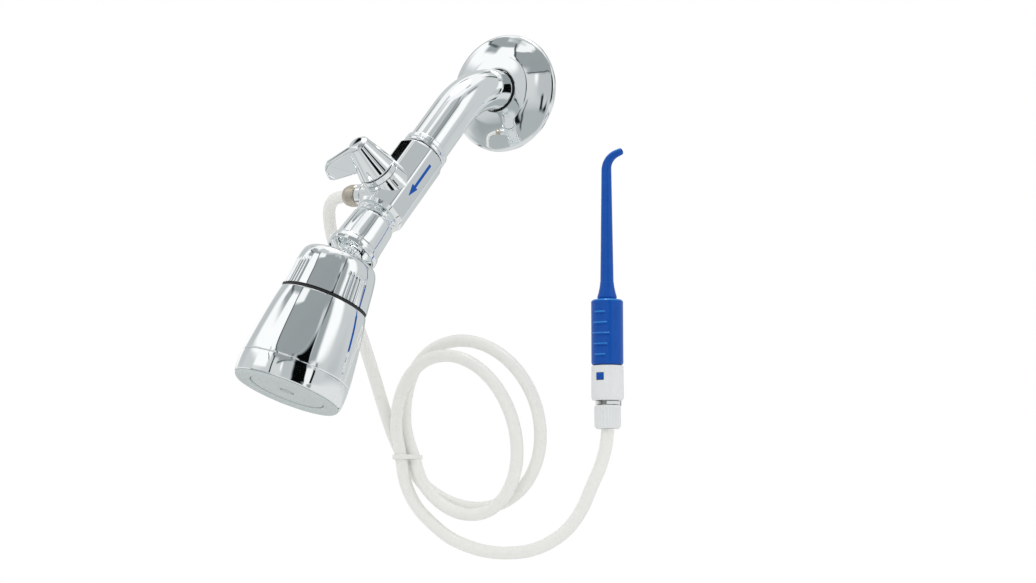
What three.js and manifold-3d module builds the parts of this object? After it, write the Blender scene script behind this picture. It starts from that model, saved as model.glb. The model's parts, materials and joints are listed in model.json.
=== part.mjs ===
// Shower-arm water flosser: wall flange and bent arm, diverter valve with lever, swivelling shower head,
// hose with two open turns, and the flosser wand in its wall clip.
//
// Millimetres, +Z up. The wall is the plane y = 0 and the object stands out from it along -Y.
// The origin is the centre of the supply pipe where it leaves the wall.
import * as THREE from "three";
import { mergeVertices } from "three/addons/utils/BufferGeometryUtils.js";
import Module from "manifold-3d";

const wasm = await Module();
wasm.setup();

const DEG = Math.PI / 180;
const GAP = 0.3; // running clearance between neighbouring pieces

// ---------------------------------------------------------------- driving dimensions

const PIPE_RADIUS = 10.65; // half-inch iron pipe size
const PIPE_BORE = 8;
const THREAD_RADIUS = 9.6; // the cut-down male threads
const THREAD_LENGTH = 10;
const ARM_BEHIND_WALL = 18;
const ARM_STRAIGHT = 7; // from the wall to the start of the bend
const ARM_BEND_RADIUS = 46.5;
const ARM_BEND = 54; // degrees
const ARM_DROP = 25.5; // straight length after the bend
const ARM_ROLL = 14.5; // degrees the arm is turned about the wall's normal

const FLANGE_RADIUS = 31;
const FLANGE_HEIGHT = 9.2;

// The valve frame starts at the arm's shoulder. Its Z runs downstream and its Y is the lever's axis.
const VALVE_TWIST = 16; // degrees about the flow axis
const SOCKET_RADIUS = THREAD_RADIUS + GAP;
const SOCKET_END = THREAD_LENGTH + 3;
const BODY_FLATS = 24;
const BODY_START = 4.6;
const BODY_END = 47;
const SPIGOT_RADIUS = 9.9;
const SPIGOT_END = 58;
const FLOW_BORE = 6.4;
const LEVER_STATION = 30.7; // along the flow axis
const OUTLET_STATION = 31.4;
const HUB_RADIUS = 9.8;
const HUB_FOOT_RADIUS = 12;
const HUB_HEIGHT = 13;
const PLUG_RADIUS = 5.8;
const PLUG_BOTTOM = -7;
const SHAFT_RADIUS = 3.8;
const KNOB_BASE = 16.3; // height above the flow axis
const KNOB_TOP = 34.6;
const WING_ANGLE = 132; // degrees from the valve's X towards downstream
const WING_REACH = 21.4;

const NUT_START = 51.6; // swivel nut, along the flow axis
const NUT_END = 72.5;
const BALL_STATION = 89;
const BALL_RADIUS = 9;
const HEAD_SWIVEL = -9.6; // degrees about the flow axis at rest
const HEAD_TILT = 17.5; // degrees from straight at rest

// The head frame starts at the ball's centre, with Z towards the spray.
const CAP_END = 10.9;
const SHELL_START = 13;
const BAND_START = 48.3;
const BAND_END = 58.3;

const HOSE_RADIUS = 3.2;
const NOSE_END = 34; // hose outlet nut's mouth, from the flow axis

const WAND_X = 65.5;
const WAND_Y = -10;
const NOZZLE_TOP = -48.1; // where the tip starts to bend
const STEM_BOTTOM = -105.2;
const CONE_BOTTOM = -112.2;
const GRIP_TOP = -113.7;
const GRIP_BOTTOM = -146.1;
const BASE_BOTTOM = -163.7;
const HOSE_NUT_TOP = -166.0;
const HOSE_NUT_BOTTOM = -177.6;
const WAND_RADIUS = 8;
const BUTTON_HEIGHT = -152;
const CLIP_TOP = -164;
const CLIP_BOTTOM = -165.7;
const NECK_RADIUS = 3.4;

// The hose runs from the outlet nut, behind the head, into two open turns beside the wall and on to the
// wand. Its three passes through the tie lie side by side.
const TIE_Z = -190;
const TIE_PASSES = [[-54, -12.8], [-44.8, -17], [-48.6, -23.2]]; // x and y of each pass
const TURNS = [
  { centre: [-7.8, -173.2], halfWidth: 43.6, halfHeight: 43, wallDistance: 12.6, leave: 0.12 },
  { centre: [-14.8, -179], halfWidth: 35.2, halfHeight: 40.6, wallDistance: 21.2, leave: 0.08 },
];
const TURN_POINTS = 16;
const TURN_SLANT = 12 * DEG;
const ARRIVE = 0.12; // the part of a turn in which it comes to its next pass through the tie

const FEED_ROUTE = [
  [-49.6, -70.4, -60.2], [-55.9, -68.4, -59.9], [-62.4, -64.6, -59.9], [-67.9, -60.4, -61.4],
  [-72, -56.1, -64.4], [-74.6, -52.1, -68.8], [-75.8, -48.6, -74.5], [-76.1, -44.5, -82.4],
  [-75.5, -39.5, -94.9], [-73.4, -35.1, -109.1], [-70.4, -31, -123.2], [-67.4, -27, -137.2],
  [-64.7, -23, -151.2], [-62.3, -18.8, -165.2], [-59.4, -14.8, -178.4],
];
const LEAD_ROUTE = [
  [-48.6, -23.2, -190], [-45.5, -23.4, -203.4], [-38.7, -23.4, -215.2], [-26.9, -23, -225.8],
  [-17.2, -23, -231.8], [-6.7, -22.5, -235.7], [4.8, -22, -238.1], [15.9, -21, -238.5],
  [26.6, -19.5, -237.2], [36.9, -17.5, -233.2], [46, -15.5, -226.4], [52.8, -13.5, -216.8],
  [57.6, -12, -205.6], [61.8, -10.6, -195.5], [64.6, -10.1, -185.5], [65.5, -10, -177.9],
];

// ---------------------------------------------------------------- materials

const chrome = new THREE.MeshStandardMaterial({ color: 0xc9d2d3, roughness: 0.08, metalness: 1 });
const brass = new THREE.MeshStandardMaterial({ color: 0xb7aa98, roughness: 0.3, metalness: 1 });
const steel = new THREE.MeshStandardMaterial({ color: 0xa9adb0, roughness: 0.35, metalness: 1 });
const rubber = new THREE.MeshStandardMaterial({ color: 0x1b1c1d, roughness: 0.7, metalness: 0 });
const whitePlastic = new THREE.MeshStandardMaterial({ color: 0xd9dedd, roughness: 0.4, metalness: 0 });
const frosted = new THREE.MeshStandardMaterial({ color: 0xc3cac8, roughness: 0.35, metalness: 0 });
const greyPlastic = new THREE.MeshStandardMaterial({ color: 0xa7aba8, roughness: 0.5, metalness: 0 });
const bluePlastic = new THREE.MeshStandardMaterial({ color: 0x1c54b4, roughness: 0.35, metalness: 0 });
const hoseVinyl = new THREE.MeshStandardMaterial({ color: 0xe4e4dc, roughness: 0.3, metalness: 0 });

// ---------------------------------------------------------------- solid helpers

const isFlat = (a, b, c) => a === b || b === c || c === a;

// A closed manifold-3d solid from a three.js geometry, turned so that its faces point out.
function solid(geometry) {
  const bare = geometry.index ? geometry.toNonIndexed() : geometry.clone();
  bare.deleteAttribute("normal");
  bare.deleteAttribute("uv");
  const merged = mergeVertices(bare, 1e-4);
  const corners = merged.index.array;
  const kept = [];
  for (let i = 0; i < corners.length; i += 3) {
    const [a, b, c] = [corners[i], corners[i + 1], corners[i + 2]];
    if (!isFlat(a, b, c)) kept.push(a, b, c);
  }
  const vertProperties = new Float32Array(merged.attributes.position.array);
  const build = (triVerts) => new wasm.Manifold(new wasm.Mesh({ numProp: 3, vertProperties, triVerts }));
  const made = build(new Uint32Array(kept));
  return made.volume() > 0 ? made : build(new Uint32Array(kept.reverse()));
}

function geometryOf(body) {
  const mesh = body.getMesh();
  const geometry = new THREE.BufferGeometry();
  const positions = new Float32Array((mesh.vertProperties.length / mesh.numProp) * 3);
  for (let i = 0; i < positions.length / 3; i += 1) {
    for (let k = 0; k < 3; k += 1) positions[3 * i + k] = mesh.vertProperties[mesh.numProp * i + k];
  }
  geometry.setAttribute("position", new THREE.BufferAttribute(positions, 3));
  geometry.setIndex([...mesh.triVerts]);
  const faceted = geometry.toNonIndexed();
  faceted.computeVertexNormals();
  return faceted;
}

function addNode(parent, name, body, material) {
  const mesh = new THREE.Mesh(geometryOf(body), material);
  mesh.name = name;
  parent.add(mesh);
  return mesh;
}

// A solid of revolution about Z from a closed outline of [radius, z] pairs.
function turned(outline, segments = 20) {
  const points = [...outline, outline[0]].map(([r, z]) => new THREE.Vector2(r, z));
  const geometry = new THREE.LatheGeometry(points, segments);
  geometry.rotateX(Math.PI / 2);
  return solid(geometry);
}

const rod = (radius, low, high, segments) =>
  turned([[0, low], [radius, low], [radius, high], [0, high]], segments);

const tubeRing = (inner, outer, low, high, segments) =>
  turned([[inner, low], [outer, low], [outer, high], [inner, high]], segments);

// Points of an arc from one angle to another, in degrees.
function arcPoints(centre, radius, from, to, steps) {
  return Array.from({ length: steps + 1 }, (_, i) => {
    const angle = (from + ((to - from) * i) / steps) * DEG;
    return [centre[0] + radius * Math.cos(angle), centre[1] + radius * Math.sin(angle)];
  });
}

// A ring with a round section, about Z.
const oRing = (middle, section, height) => turned(arcPoints([middle, height], section, 45, 315, 3), 16);

const box = (x, y, z, width, depth, height) =>
  solid(new THREE.BoxGeometry(width, depth, height).translate(x, y, z));

// Turns a solid made about Z so that its axis is the valve's lever axis (+Y) or hose outlet axis (-X).
const aboutLever = (body) => body.rotate([-90, 0, 0]).translate([0, 0, LEVER_STATION]);
const aboutOutlet = (body) => body.rotate([0, -90, 0]).translate([0, 0, OUTLET_STATION]);

// A round tube along a curve, solid or with a bore.
function pipe(curve, radius, steps, sides, bore = 0) {
  const section = new THREE.Shape();
  section.absarc(0, 0, radius, 0, 2 * Math.PI);
  if (bore > 0) section.holes.push(new THREE.Path().absarc(0, 0, bore, 0, 2 * Math.PI, true));
  const settings = { steps, extrudePath: curve, curveSegments: sides, bevelEnabled: false };
  return solid(new THREE.ExtrudeGeometry(section, settings));
}

// A flat outline in the XY plane, extruded along Z from low to high.
function plate(outline, low, high) {
  const shape = new THREE.Shape(outline.map(([x, y]) => new THREE.Vector2(x, y)));
  const geometry = new THREE.ExtrudeGeometry(shape, { depth: high - low, bevelEnabled: false });
  return solid(geometry.translate(0, 0, low));
}

const flosser = new THREE.Group();

// ---------------------------------------------------------------- wall flange and arm

function wallFlange() {
  const outside = [
    [FLANGE_RADIUS, 0], [FLANGE_RADIUS, 1.4], [FLANGE_RADIUS - 0.4, 2.4], [FLANGE_RADIUS - 1.2, 3],
    [26, 5.05], [23, 6.45], [19.3, 7.9], [15, 8.8], [12.6, FLANGE_HEIGHT],
  ];
  const hole = PIPE_RADIUS + 1.3;
  const inside = [
    [hole, FLANGE_HEIGHT - 0.1], [hole, FLANGE_HEIGHT - 1.6], [16.6, 7], [24.6, 3.8],
    [FLANGE_RADIUS - 1.6, 1.6], [FLANGE_RADIUS - 1.6, 0],
  ];
  return turned([...outside, ...inside], 28).rotate([90, 0, 0]);
}

function flangeGripRing() {
  const inner = PIPE_RADIUS + GAP;
  const outer = PIPE_RADIUS + 1;
  const outline = [
    [inner, 6.6], [outer, 6.6], [outer, FLANGE_HEIGHT - 0.6], [outer - 0.2, FLANGE_HEIGHT + 0.2],
    [inner, FLANGE_HEIGHT],
  ];
  return turned(outline, 20).rotate([90, 0, 0]);
}

// The arm's own frame: the arm lies in the YZ plane. The outer group rolls it about the wall's normal.
const bendEnd = {
  y: -(ARM_STRAIGHT + ARM_BEND_RADIUS * Math.sin(ARM_BEND * DEG)),
  z: -ARM_BEND_RADIUS * (1 - Math.cos(ARM_BEND * DEG)),
};
const armEnd = {
  y: bendEnd.y - ARM_DROP * Math.cos(ARM_BEND * DEG),
  z: bendEnd.z - ARM_DROP * Math.sin(ARM_BEND * DEG),
};
const alongArm = [90 + ARM_BEND, 0, 0]; // turns +Z to the arm's direction after the bend

class ArmCurve extends THREE.Curve {
  getPoint(t, target = new THREE.Vector3()) {
    const behind = ARM_BEHIND_WALL - THREAD_LENGTH;
    const lead = behind + ARM_STRAIGHT;
    const bend = ARM_BEND_RADIUS * ARM_BEND * DEG;
    const s = t * (lead + bend + ARM_DROP);
    if (s <= lead) return target.set(0, behind - s, 0);
    if (s <= lead + bend) {
      const angle = (s - lead) / ARM_BEND_RADIUS;
      const out = ARM_BEND_RADIUS * Math.sin(angle);
      const down = ARM_BEND_RADIUS * (1 - Math.cos(angle));
      return target.set(0, -ARM_STRAIGHT - out, -down);
    }
    const rest = s - lead - bend;
    const angle = ARM_BEND * DEG;
    return target.set(0, bendEnd.y - rest * Math.cos(angle), bendEnd.z - rest * Math.sin(angle));
  }
}

function showerArm() {
  const thread = tubeRing(PIPE_BORE, THREAD_RADIUS, -1, THREAD_LENGTH, 18);
  const wallThread = thread.rotate([-90, 0, 0]).translate([0, ARM_BEHIND_WALL - THREAD_LENGTH, 0]);
  const valveThread = thread.rotate(alongArm).translate([0, armEnd.y, armEnd.z]);
  const tube = pipe(new ArmCurve(), PIPE_RADIUS, 12, 9, PIPE_BORE - 0.3);
  const wayIn = rod(PIPE_BORE, -1.5, THREAD_LENGTH + 1, 18);
  return tube
    .add(wallThread)
    .add(valveThread)
    .subtract(wayIn.rotate([-90, 0, 0]).translate([0, ARM_BEHIND_WALL - THREAD_LENGTH, 0]))
    .subtract(wayIn.rotate(alongArm).translate([0, armEnd.y, armEnd.z]));
}

const armGroup = new THREE.Group();
armGroup.rotation.y = ARM_ROLL * DEG;
flosser.add(armGroup);
addNode(flosser, "wall_flange", wallFlange(), chrome);
addNode(flosser, "flange_grip_ring", flangeGripRing(), rubber);
addNode(armGroup, "shower_arm", showerArm(), chrome);

// ---------------------------------------------------------------- diverter valve

const valve = new THREE.Group();
valve.position.set(0, armEnd.y, armEnd.z);
valve.rotation.set(alongArm[0] * DEG, 0, VALVE_TWIST * DEG);
armGroup.add(valve);

function grooved(radius, low, high, grooves, depth, pitch) {
  const outline = [[radius, low]];
  for (let i = 0; i < grooves; i += 1) {
    const z = low + pitch * (i + 0.7);
    outline.push([radius, z - 0.3], [radius - depth, z], [radius, z + 0.3]);
  }
  outline.push([radius, high]);
  return outline;
}

function inletCollar() {
  const outside = grooved(11.6, GAP, 4.3, 2, 0.35, 1.6);
  return turned([[SOCKET_RADIUS, GAP], ...outside, [SOCKET_RADIUS, 4.3]], 20);
}

function valveBody() {
  const corner = BODY_FLATS / 2 / Math.cos(22.5 * DEG);
  const octagon = Array.from({ length: 8 }, (_, i) => {
    const angle = (22.5 + 45 * i) * DEG;
    return [corner * Math.cos(angle), corner * Math.sin(angle)];
  });
  const edge = 1.4; // the turned-down ends of the block
  const envelope = turned([
    [0, BODY_START], [corner - edge, BODY_START], [corner + 0.1, BODY_START + edge],
    [corner + 0.1, BODY_END - 2 * edge], [corner - 2 * edge, BODY_END], [0, BODY_END],
  ], 20);
  const spigot = turned([
    [0, BODY_END - 1], ...grooved(SPIGOT_RADIUS, BODY_END - 1, 51.3, 3, 0.5, 1.6), [9.3, 51.3],
    [9.3, SPIGOT_END], [0, SPIGOT_END],
  ], 18);
  const hub = aboutLever(turned([
    [0, 0], [HUB_FOOT_RADIUS, 4.4], [10.3, 11.4], [HUB_RADIUS, HUB_HEIGHT], [0, HUB_HEIGHT],
  ], 22));
  const socket = rod(SOCKET_RADIUS, 0, SOCKET_END, 18);
  const flow = rod(FLOW_BORE, SOCKET_END - 1, SPIGOT_END + 1, 14);
  const plugBore = aboutLever(rod(PLUG_RADIUS + GAP, PLUG_BOTTOM - GAP, HUB_HEIGHT + 1, 16));
  const outletBore = aboutOutlet(rod(4, 0, BODY_FLATS, 12));
  const arrowPocket = plate(arrowOutline(GAP), 0, 2).rotate([0, 90, 0]);
  return plate(octagon, BODY_START, BODY_END)
    .intersect(envelope)
    .add(spigot)
    .add(hub)
    .subtract(socket)
    .subtract(flow)
    .subtract(plugBore)
    .subtract(outletBore)
    .subtract(arrowPocket.translate([BODY_FLATS / 2 - 0.5, 0, 0]));
}

// A plain flow arrow: a slim bar with a triangular head that points downstream.
function arrowOutline(margin) {
  const tail = 12 - margin;
  const neck = 27;
  const tip = 33 + 2 * margin;
  const half = 0.7 + margin;
  const wide = 2 + margin;
  return [
    [-tail, half], [-tail, -half], [-neck, -half], [-neck, -wide], [-tip, 0], [-neck, wide], [-neck, half],
  ];
}

const flowArrow = () =>
  plate(arrowOutline(0), 0, 0.5).rotate([0, 90, 0]).translate([BODY_FLATS / 2 - 0.2, 0, 0]);

function inletScreen() {
  const holes = [rod(1.2, 0, 30, 6)];
  for (let i = 0; i < 6; i += 1) {
    const angle = i * 60 * DEG;
    holes.push(rod(1.2, 0, 30, 6).translate([3.8 * Math.cos(angle), 3.8 * Math.sin(angle), 0]));
  }
  const disc = rod(FLOW_BORE - GAP, SOCKET_END + 0.6, SOCKET_END + 1.6, 16);
  return holes.reduce((body, hole) => body.subtract(hole), disc);
}

function diverterStem() {
  const groove = (middle) => [
    [PLUG_RADIUS, middle - 0.9], [4.6, middle - 0.9], [4.6, middle + 0.9], [PLUG_RADIUS, middle + 0.9],
  ];
  const stem = turned([
    [0, PLUG_BOTTOM], [PLUG_RADIUS, PLUG_BOTTOM], ...groove(-5.2), ...groove(6.6), [PLUG_RADIUS, 9.5],
    [SHAFT_RADIUS, 9.5], [SHAFT_RADIUS, 27], [0, 27],
  ], 14);
  const port = rod(2.9, -PLUG_RADIUS - 1, PLUG_RADIUS + 1, 10);
  const sidePort = rod(2.4, 0, PLUG_RADIUS + 1, 10).rotate([0, 90, 0]);
  return aboutLever(stem).subtract(port.translate([0, 0, LEVER_STATION]))
    .subtract(sidePort.translate([0, 0, LEVER_STATION]));
}

const stemORing = (height) => aboutLever(oRing(5.35, 0.55, height));

const bonnetRing = () => aboutLever(turned([
  [SHAFT_RADIUS + GAP, 9.8], [PLUG_RADIUS, 9.8], [PLUG_RADIUS, HUB_HEIGHT + GAP],
  [HUB_RADIUS, HUB_HEIGHT + GAP], [HUB_RADIUS, KNOB_BASE - GAP], [SHAFT_RADIUS + GAP, KNOB_BASE - GAP],
], 20));

function leverKnob() {
  const cone = turned([
    [0, KNOB_BASE], [HUB_RADIUS, KNOB_BASE], [5.4, KNOB_TOP - 1.4], [4, KNOB_TOP], [0, KNOB_TOP],
  ], 20);
  const wingSide = [
    [0, KNOB_TOP - 0.2], [WING_REACH - 3, KNOB_TOP - 0.2], [WING_REACH - 1.6, KNOB_TOP - 0.8],
    [WING_REACH, 26], [WING_REACH - 1.2, 24.8], [9.8, 21.3], [0, 18],
  ];
  const wing = plate(wingSide, -2.3, 2.3).rotate([90, 0, 0]).rotate([0, 0, -WING_ANGLE]);
  const shaftHole = rod(SHAFT_RADIUS + GAP, KNOB_BASE - 1, 27.3, 12);
  const screwHole = rod(1.8, SHAFT_RADIUS, HUB_RADIUS + 2, 12).rotate([0, -90, 0]).translate([0, 0, 20.5]);
  return aboutLever(cone.add(wing).subtract(shaftHole).subtract(screwHole));
}

const leverSetScrew = () =>
  aboutLever(rod(1.5, SHAFT_RADIUS + GAP, 8, 12).rotate([0, -90, 0]).translate([0, 0, 20.5]));

function hoseOutletFitting() {
  const shoulder = NOSE_END - 9.3;
  const body = turned([
    [1.3, 7], [3.7, 7], [3.7, BODY_FLATS / 2 + GAP], [6.6, BODY_FLATS / 2 + GAP], [6.6, 16.4], [5.4, 17.4],
    [5.2, shoulder], [2.1, shoulder], [2.1, NOSE_END - 1], [1.3, NOSE_END - 1],
  ], 16);
  return aboutOutlet(body);
}

const hoseOutletNut = () => aboutOutlet(turned([
  [4.4, NOSE_END - 9], [5.4, NOSE_END - 9], [5.6, NOSE_END - 8], [5.6, NOSE_END - 3], [4.9, NOSE_END - 0.6],
  [4.3, NOSE_END], [HOSE_RADIUS + GAP, NOSE_END], [HOSE_RADIUS + GAP, NOSE_END - 2.8], [4.4, NOSE_END - 2.8],
], 16));

const hoseFerrule = () => aboutOutlet(tubeRing(2.5, 4.1, NOSE_END - 8, NOSE_END - 3.6, 14));

addNode(valve, "inlet_collar", inletCollar(), chrome);
addNode(valve, "valve_body", valveBody(), chrome);
addNode(valve, "flow_arrow", flowArrow(), bluePlastic);
addNode(valve, "inlet_washer", tubeRing(6.6, SOCKET_RADIUS - 0.4, 10.5, 12.6, 20), rubber);
addNode(valve, "inlet_screen", inletScreen(), steel);
addNode(valve, "diverter_stem", diverterStem(), brass);
addNode(valve, "stem_o_ring_lower", stemORing(-5.2), rubber);
addNode(valve, "stem_o_ring_upper", stemORing(6.6), rubber);
addNode(valve, "bonnet_ring", bonnetRing(), chrome);
addNode(valve, "lever_knob", leverKnob(), chrome);
addNode(valve, "lever_set_screw", leverSetScrew(), steel);
addNode(valve, "hose_outlet_fitting", hoseOutletFitting(), chrome);
addNode(valve, "hose_outlet_nut", hoseOutletNut(), brass);
addNode(valve, "hose_ferrule", hoseFerrule(), brass);

// ---------------------------------------------------------------- swivel nut and ball

function swivelNut() {
  const ball = arcPoints([0, BALL_STATION], BALL_RADIUS, -54, 66, 6);
  const outline = [
    [SPIGOT_RADIUS - 0.2, NUT_START], [10.7, NUT_START], [11.1, NUT_START + 0.6], [12, NUT_END - 5],
    [12.9, NUT_END - 4], [12.9, NUT_END - 0.4], [12.5, NUT_END], [11.8, NUT_END], [11.3, NUT_END - 0.7],
    [5.05, NUT_END - 1], ...ball, [3.6, BALL_STATION + 8.1], [3.6, 61.2], [SPIGOT_RADIUS - 0.2, 61.2],
  ];
  return turned(outline, 22);
}

addNode(valve, "swivel_nut", swivelNut(), chrome);
addNode(valve, "swivel_washer", tubeRing(5, 9.3, SPIGOT_END + GAP, 60.9, 20), rubber);

// ---------------------------------------------------------------- shower head

const swivelled = new THREE.Group();
swivelled.position.z = BALL_STATION;
swivelled.rotation.z = HEAD_SWIVEL * DEG;
valve.add(swivelled);
const head = new THREE.Group();
head.rotation.x = HEAD_TILT * DEG;
swivelled.add(head);

const headCap = () => turned([
  [8.15, -4.5], [9.4, -6.5], [12.8, -10.8], [14.2, -11.4], [16.4, -10.9], [18.2, -9.2], [19.4, -6.2],
  [20.3, 0], [21.5, CAP_END], [19.7, CAP_END], [17.6, -4.5], [16, -8.4], [14.4, -8.9], [11.5, -5.6],
  [11.3, 13.6], [9.4, 13.6], [9.4, 0], [9, -2.8],
], 26);

const ballSeat = () => turned([
  [8.8, 3.2], [9.1, 3.2], [9.1, 9.6], [5.6, 9.6], [5.6, 7.8], [7.3, 6.2],
], 18);

const seatSpring = () => tubeRing(6.2, 8.9, 9.9, 10.7, 16);

const seamRing = () => tubeRing(19.8, 21.75, CAP_END + GAP, SHELL_START - GAP, 26);

function innerSleeve() {
  const sleeve = turned([
    [3.4, 11], [9.1, 11], [9.1, 15], [6, 15], [6, 50], [2.2, 50], [2.2, 46.5], [3.4, 46.5],
  ], 16);
  const sidePort = rod(1.8, -7, 7, 8).rotate([90, 0, 0]).translate([0, 0, 42]);
  return sleeve.subtract(sidePort);
}

const sleeveORing = () => oRing(10.2, 0.5, 14.4);

function headShell() {
  const outside = [[21.8, SHELL_START], [23.3, 20], [24.8, 30], [26.1, 40], [26.8, BAND_START - GAP]];
  const inside = [[25, BAND_START - GAP], [24.4, 40], [23.1, 30], [21.6, 20], [20.2, SHELL_START]];
  return turned([...outside, ...inside], 26);
}

const headBand = () => turned([
  [26.8, BAND_START], [26.75, 54], [26.3, BAND_END], [24.6, BAND_END], [24.6, BAND_START],
], 26);

function sprayPlate() {
  const plateRing = tubeRing(6.3, 24.2, 51, 53.4, 24);
  const ports = Array.from({ length: 8 }, (_, i) => {
    const angle = i * 45 * DEG;
    return rod(1.4, 50, 54, 6).translate([16 * Math.cos(angle), 16 * Math.sin(angle), 0]);
  });
  return ports.reduce((body, port) => body.subtract(port), plateRing);
}

const sprayRing = () => turned([
  [18.6, 54], [24.2, 54], [24.2, BAND_END + GAP], [26, BAND_END + GAP], [25.8, 59.4], [24.6, 60],
  [23.4, 59.9], [22.4, 59.3], [18.6, 58.9],
], 24);

const sprayDisc = () => turned([
  [2.2, 55], [17.8, 55], [17.8, 58.2], [17, 58.7], [3.4, 58.7], [3.4, 56.6], [2.2, 56.6],
], 20);

const discScrew = () => turned([[0, 47], [1.9, 47], [1.9, 56.9], [3.1, 56.9], [3.1, 58.5], [0, 58.5]], 12);

const flowPlunger = () => tubeRing(6.3, 12, 46, 48.4, 18);

addNode(head, "head_cap", headCap(), chrome);
addNode(head, "ball_seat", ballSeat(), greyPlastic);
addNode(head, "seat_spring_washer", seatSpring(), steel);
addNode(head, "seam_ring", seamRing(), rubber);
addNode(head, "inner_sleeve", innerSleeve(), greyPlastic);
addNode(head, "sleeve_o_ring", sleeveORing(), rubber);
addNode(head, "head_shell", headShell(), chrome);
addNode(head, "head_band", headBand(), chrome);
addNode(head, "spray_plate", sprayPlate(), greyPlastic);
addNode(head, "spray_ring", sprayRing(), frosted);
addNode(head, "spray_disc", sprayDisc(), frosted);
addNode(head, "disc_screw", discScrew(), steel);
addNode(head, "flow_plunger", flowPlunger(), greyPlastic);

// ---------------------------------------------------------------- hose

const mix = (a, b, t) => a + (b - a) * t;
const ease = (t) => THREE.MathUtils.smoothstep(t, 0, 1);

// One turn of the hose: a slanted oval that starts and ends at its passes through the tie.
function turnPoints(turn, startPass, endPass) {
  const [cx, cz] = turn.centre;
  const oval = (angle) => [
    cx + turn.halfWidth * Math.cos(angle), cz + turn.halfHeight * Math.sin(angle - TURN_SLANT),
  ];
  const first = TURN_SLANT + Math.PI + Math.asin((cz - TIE_Z) / turn.halfHeight);
  const atTie = oval(first)[0];
  return Array.from({ length: TURN_POINTS }, (_, i) => {
    const t = i / TURN_POINTS;
    const [x, z] = oval(first + 2 * Math.PI * t);
    const leaving = ease(t / turn.leave);
    const arriving = ease((t - 1 + ARRIVE) / ARRIVE);
    const y = mix(mix(startPass[1], -turn.wallDistance, leaving), endPass[1], arriving);
    return [x + mix(startPass[0], endPass[0], ease(t)) - atTie, y, z];
  });
}

const route = new THREE.CatmullRomCurve3(
  [
    ...FEED_ROUTE,
    ...turnPoints(TURNS[0], TIE_PASSES[0], TIE_PASSES[1]),
    ...turnPoints(TURNS[1], TIE_PASSES[1], TIE_PASSES[2]),
    ...LEAD_ROUTE,
  ].map((point) => new THREE.Vector3(...point)),
  false,
  "centripetal",
);
route.arcLengthDivisions = 1200;

class HoseStretch extends THREE.Curve {
  constructor(from, to) {
    super();
    this.from = from;
    this.to = to;
  }

  getPoint(t, target = new THREE.Vector3()) {
    return route.getPointAt(mix(this.from, this.to, t) / route.getLength(), target);
  }
}

// How far along the hose one of its route points lies.
function distanceTo(pointIndex) {
  const lengths = route.getLengths();
  const share = pointIndex / (route.points.length - 1);
  return lengths[Math.round(share * (lengths.length - 1))];
}

const hoseStretch = (from, to, steps) => pipe(new HoseStretch(from, to), HOSE_RADIUS, steps, 5);

function hoseTie() {
  const outline = (reach) => {
    const hull = TIE_PASSES.flatMap(([x, y]) => arcPoints([x, y], HOSE_RADIUS + reach, 0, 330, 11));
    return convexHull(hull);
  };
  const band = plate(outline(2.3), TIE_Z - 1.4, TIE_Z + 1.4);
  return band.subtract(plate(outline(1.5), TIE_Z - 2, TIE_Z + 2));
}

// The convex outline around flat points, anticlockwise.
function convexHull(points) {
  const sorted = [...points].sort((a, b) => a[0] - b[0] || a[1] - b[1]);
  const turn = (o, a, b) => (a[0] - o[0]) * (b[1] - o[1]) - (a[1] - o[1]) * (b[0] - o[0]);
  const half = (list) => {
    const kept = [];
    for (const point of list) {
      while (kept.length > 1 && turn(kept.at(-2), kept.at(-1), point) <= 0) kept.pop();
      kept.push(point);
    }
    return kept.slice(0, -1);
  };
  return [...half(sorted), ...half(sorted.reverse())];
}

const coilStart = distanceTo(FEED_ROUTE.length);
const coilEnd = distanceTo(FEED_ROUTE.length + 2 * TURN_POINTS);
addNode(flosser, "hose_feed", hoseStretch(0, coilStart - GAP, 17), hoseVinyl);
addNode(flosser, "hose_turns", hoseStretch(coilStart, coilEnd, 42), hoseVinyl);
addNode(flosser, "hose_lead", hoseStretch(coilEnd + GAP, route.getLength(), 17), hoseVinyl);
addNode(flosser, "hose_tie", hoseTie(), whitePlastic);

// ---------------------------------------------------------------- wand

const wand = new THREE.Group();
wand.position.set(WAND_X, WAND_Y, 0);
flosser.add(wand);

const wandNut = () => turned([
  [5.2, HOSE_NUT_TOP], [6.3, HOSE_NUT_TOP], [6.55, HOSE_NUT_TOP - 0.8], [6.5, HOSE_NUT_BOTTOM + 1.2],
  [5.4, HOSE_NUT_BOTTOM], [HOSE_RADIUS + GAP, HOSE_NUT_BOTTOM], [HOSE_RADIUS + GAP, HOSE_NUT_BOTTOM + 1.6],
  [4.4, HOSE_NUT_BOTTOM + 1.6], [4.4, -169.4], [5.2, -169.4],
], 20);

const wandFerrule = () => tubeRing(2.5, 4.1, -175.2, -171, 14);

const wandSpigot = () => turned([
  [1.2, -176.8], [2.1, -176.8], [2.1, -169], [4.9, -169], [4.9, -166.3], [NECK_RADIUS, -166.3],
  [NECK_RADIUS, -163.2], [5, -163.2], [5, -159.4], [1.2, -159.4],
], 14);

function wandBase() {
  const shell = turned([
    [7, GRIP_BOTTOM - 0.4], [WAND_RADIUS - 0.05, GRIP_BOTTOM - 0.4], [WAND_RADIUS, -156],
    [WAND_RADIUS, BASE_BOTTOM + 1.4], [WAND_RADIUS - 1.2, BASE_BOTTOM], [5.3, BASE_BOTTOM], [5.3, -159],
    [7, -159],
  ], 22);
  return shell.subtract(box(0, -WAND_RADIUS, BUTTON_HEIGHT, 4.2, 4, 3.8));
}

function releaseButton() {
  const face = box(0, -7.2, BUTTON_HEIGHT, 3.6, 2.6, 3.2);
  const flange = box(0, -6.05, BUTTON_HEIGHT, 4.6, 0.5, 4.2);
  return face.add(flange);
}

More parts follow.
